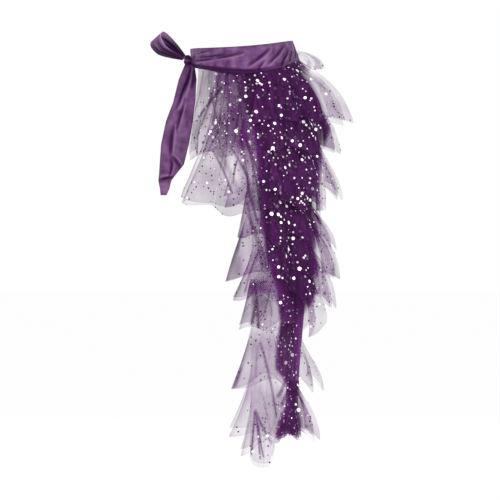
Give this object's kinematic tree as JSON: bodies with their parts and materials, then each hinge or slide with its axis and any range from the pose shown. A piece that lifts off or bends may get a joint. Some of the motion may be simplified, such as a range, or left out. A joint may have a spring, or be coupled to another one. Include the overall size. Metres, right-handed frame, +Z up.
{
  "type": "tie-on tulle bustle skirt with a satin sash",
  "caption": "Costume bustle: a satin hip sash tied in a half bow at the front, with a high-low cascade of gathered, dotted tulle flounces down the back.",
  "frame": {"origin": "middle of the ring that the sash makes round the hips, where the wearer holds it up", "axes": "+Z up; -X is the wearer's front, where the sash is tied; +X is the wearer's back, where the tail hangs; -Y is the tied side"},
  "size_m": [0.4527, 0.4638, 0.9695],
  "materials": {
    "satin": "soft purple satin",
    "tulle": "see-through purple tulle with foil dots"
  },
  "bodies": {
    "root": {"sash_band": "satin", "sash_knot": "satin", "sash_loop": "satin", "sash_tail": "satin", "train_panel": "tulle", "header_ruffle": "tulle", "hip_flounce_short": "tulle", "hip_flounce_long": "tulle", "tail_flounce_01": "tulle", "tail_flounce_02": "tulle", "tail_flounce_03": "tulle", "tail_flounce_04": "tulle", "tail_flounce_05": "tulle", "tail_flounce_06": "tulle", "tail_flounce_07": "tulle", "tail_flounce_08": "tulle", "tail_flounce_09": "tulle"}
  },
  "joints": []
}
